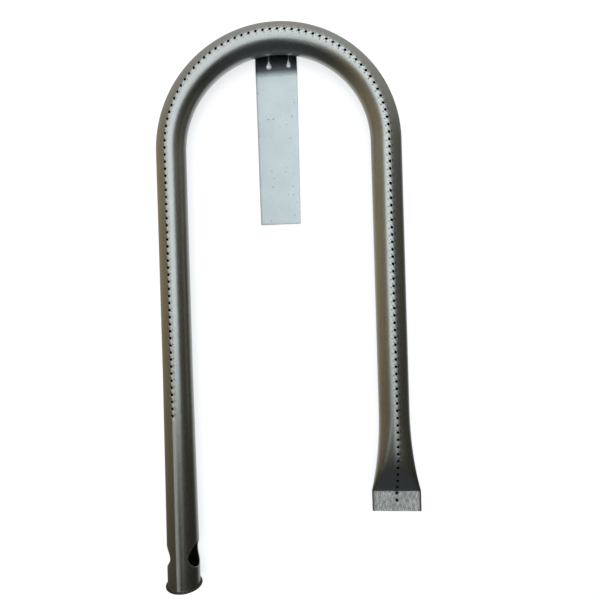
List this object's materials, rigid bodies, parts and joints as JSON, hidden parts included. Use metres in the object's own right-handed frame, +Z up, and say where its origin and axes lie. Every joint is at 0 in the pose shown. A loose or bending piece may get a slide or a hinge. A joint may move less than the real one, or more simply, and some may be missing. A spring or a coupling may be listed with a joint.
{
  "type": "burner assembly",
  "caption": "U-shaped steel tube burner for a gas grill: pierced tube with flared gas inlet and cross-drilled air hole, pinched closed end and a flat support strip under the bend.",
  "frame": {"origin": "centre of the bounding box, at the lowest level: the bottom of the inlet lip, on which the burner lies", "axes": "+Z up, the way the flame ports face; +Y from the two open legs towards the bend; -Y is the way the gas valve leaves the inlet"},
  "size_m": [0.2198, 0.4788, 0.0312],
  "materials": {
    "tube_steel": "rolled stainless tube, satin, with a faint straw-brown tint along its sides",
    "strip_steel": "matte mill-finish sheet, fine grain",
    "weld_metal": "as-welded, smooth bead"
  },
  "bodies": {
    "root": {"burner_tube": "tube_steel", "support_strip": "strip_steel", "tack_welds": "weld_metal"}
  },
  "joints": []
}
